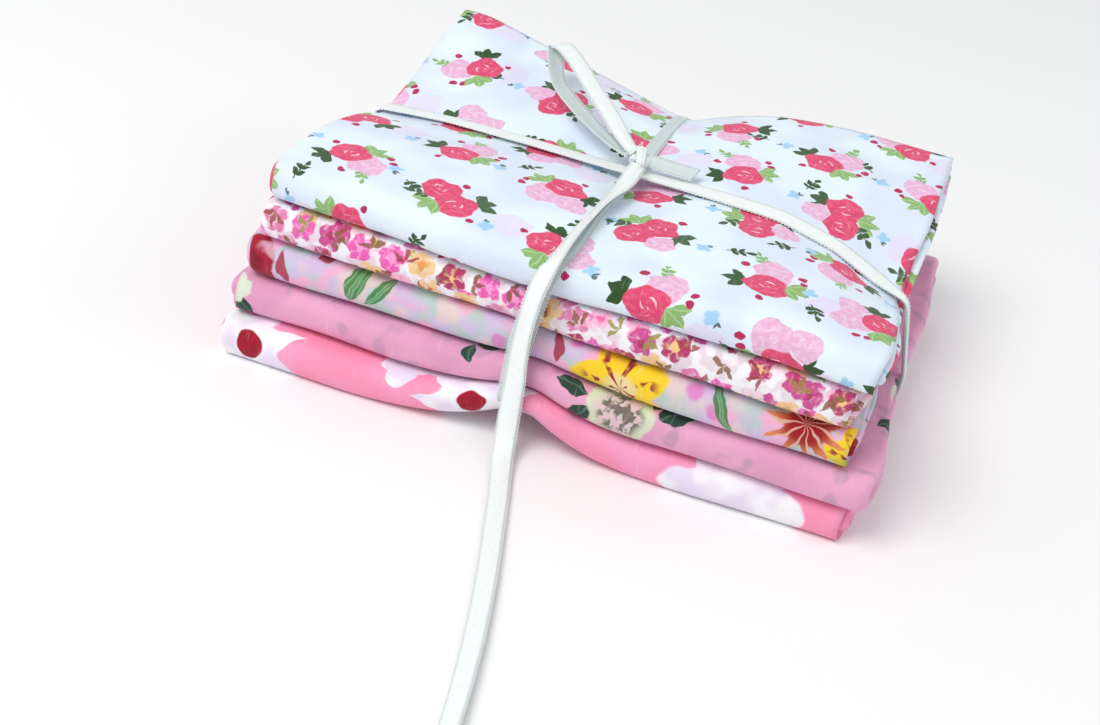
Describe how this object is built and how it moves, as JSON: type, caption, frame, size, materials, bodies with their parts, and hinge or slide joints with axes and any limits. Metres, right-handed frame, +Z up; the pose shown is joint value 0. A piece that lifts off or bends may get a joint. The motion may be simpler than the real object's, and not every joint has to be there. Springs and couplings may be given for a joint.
{
  "type": "tied stack of folded fat quarters",
  "caption": "Folded cotton fat quarters stacked with their rounded folds to the front, tied crosswise like a parcel with a narrow satin ribbon that ends in a half bow and a long tail.",
  "frame": {"origin": "on the surface that the stack lies on, under the middle of the box round the tied stack, its loose ribbon ends left out", "axes": "+X along the longer folded side, to the right seen from the rounded front folds; -Y to the front, where the long tail runs; +Z up"},
  "size_m": [0.157, 0.2159, 0.0557],
  "materials": {
    "rosebud_cotton": "plain weave cotton printed with small roses on pale blue",
    "ditsy_cotton": "plain weave cotton printed with dense small flowers",
    "garden_cotton": "plain weave cotton printed with blurred garden flowers on pale lilac",
    "cream_rose_cotton": "plain weave cotton printed with spaced cream roses on dusty pink",
    "coral_cotton": "plain weave cotton printed with large white flowers on coral pink",
    "satin_ribbon": "cream satin ribbon with a fine looped edge"
  },
  "bodies": {
    "root": {"quarter_1_rosebuds": "rosebud_cotton", "quarter_2_ditsy": "ditsy_cotton", "quarter_3_garden": "garden_cotton", "quarter_4_cream_roses": "cream_rose_cotton", "quarter_5_coral": "coral_cotton", "ribbon_wrap_long": "satin_ribbon", "ribbon_wrap_short": "satin_ribbon", "bow_knot": "satin_ribbon", "bow_loop": "satin_ribbon", "short_tail": "satin_ribbon", "long_tail": "satin_ribbon"}
  },
  "joints": []
}
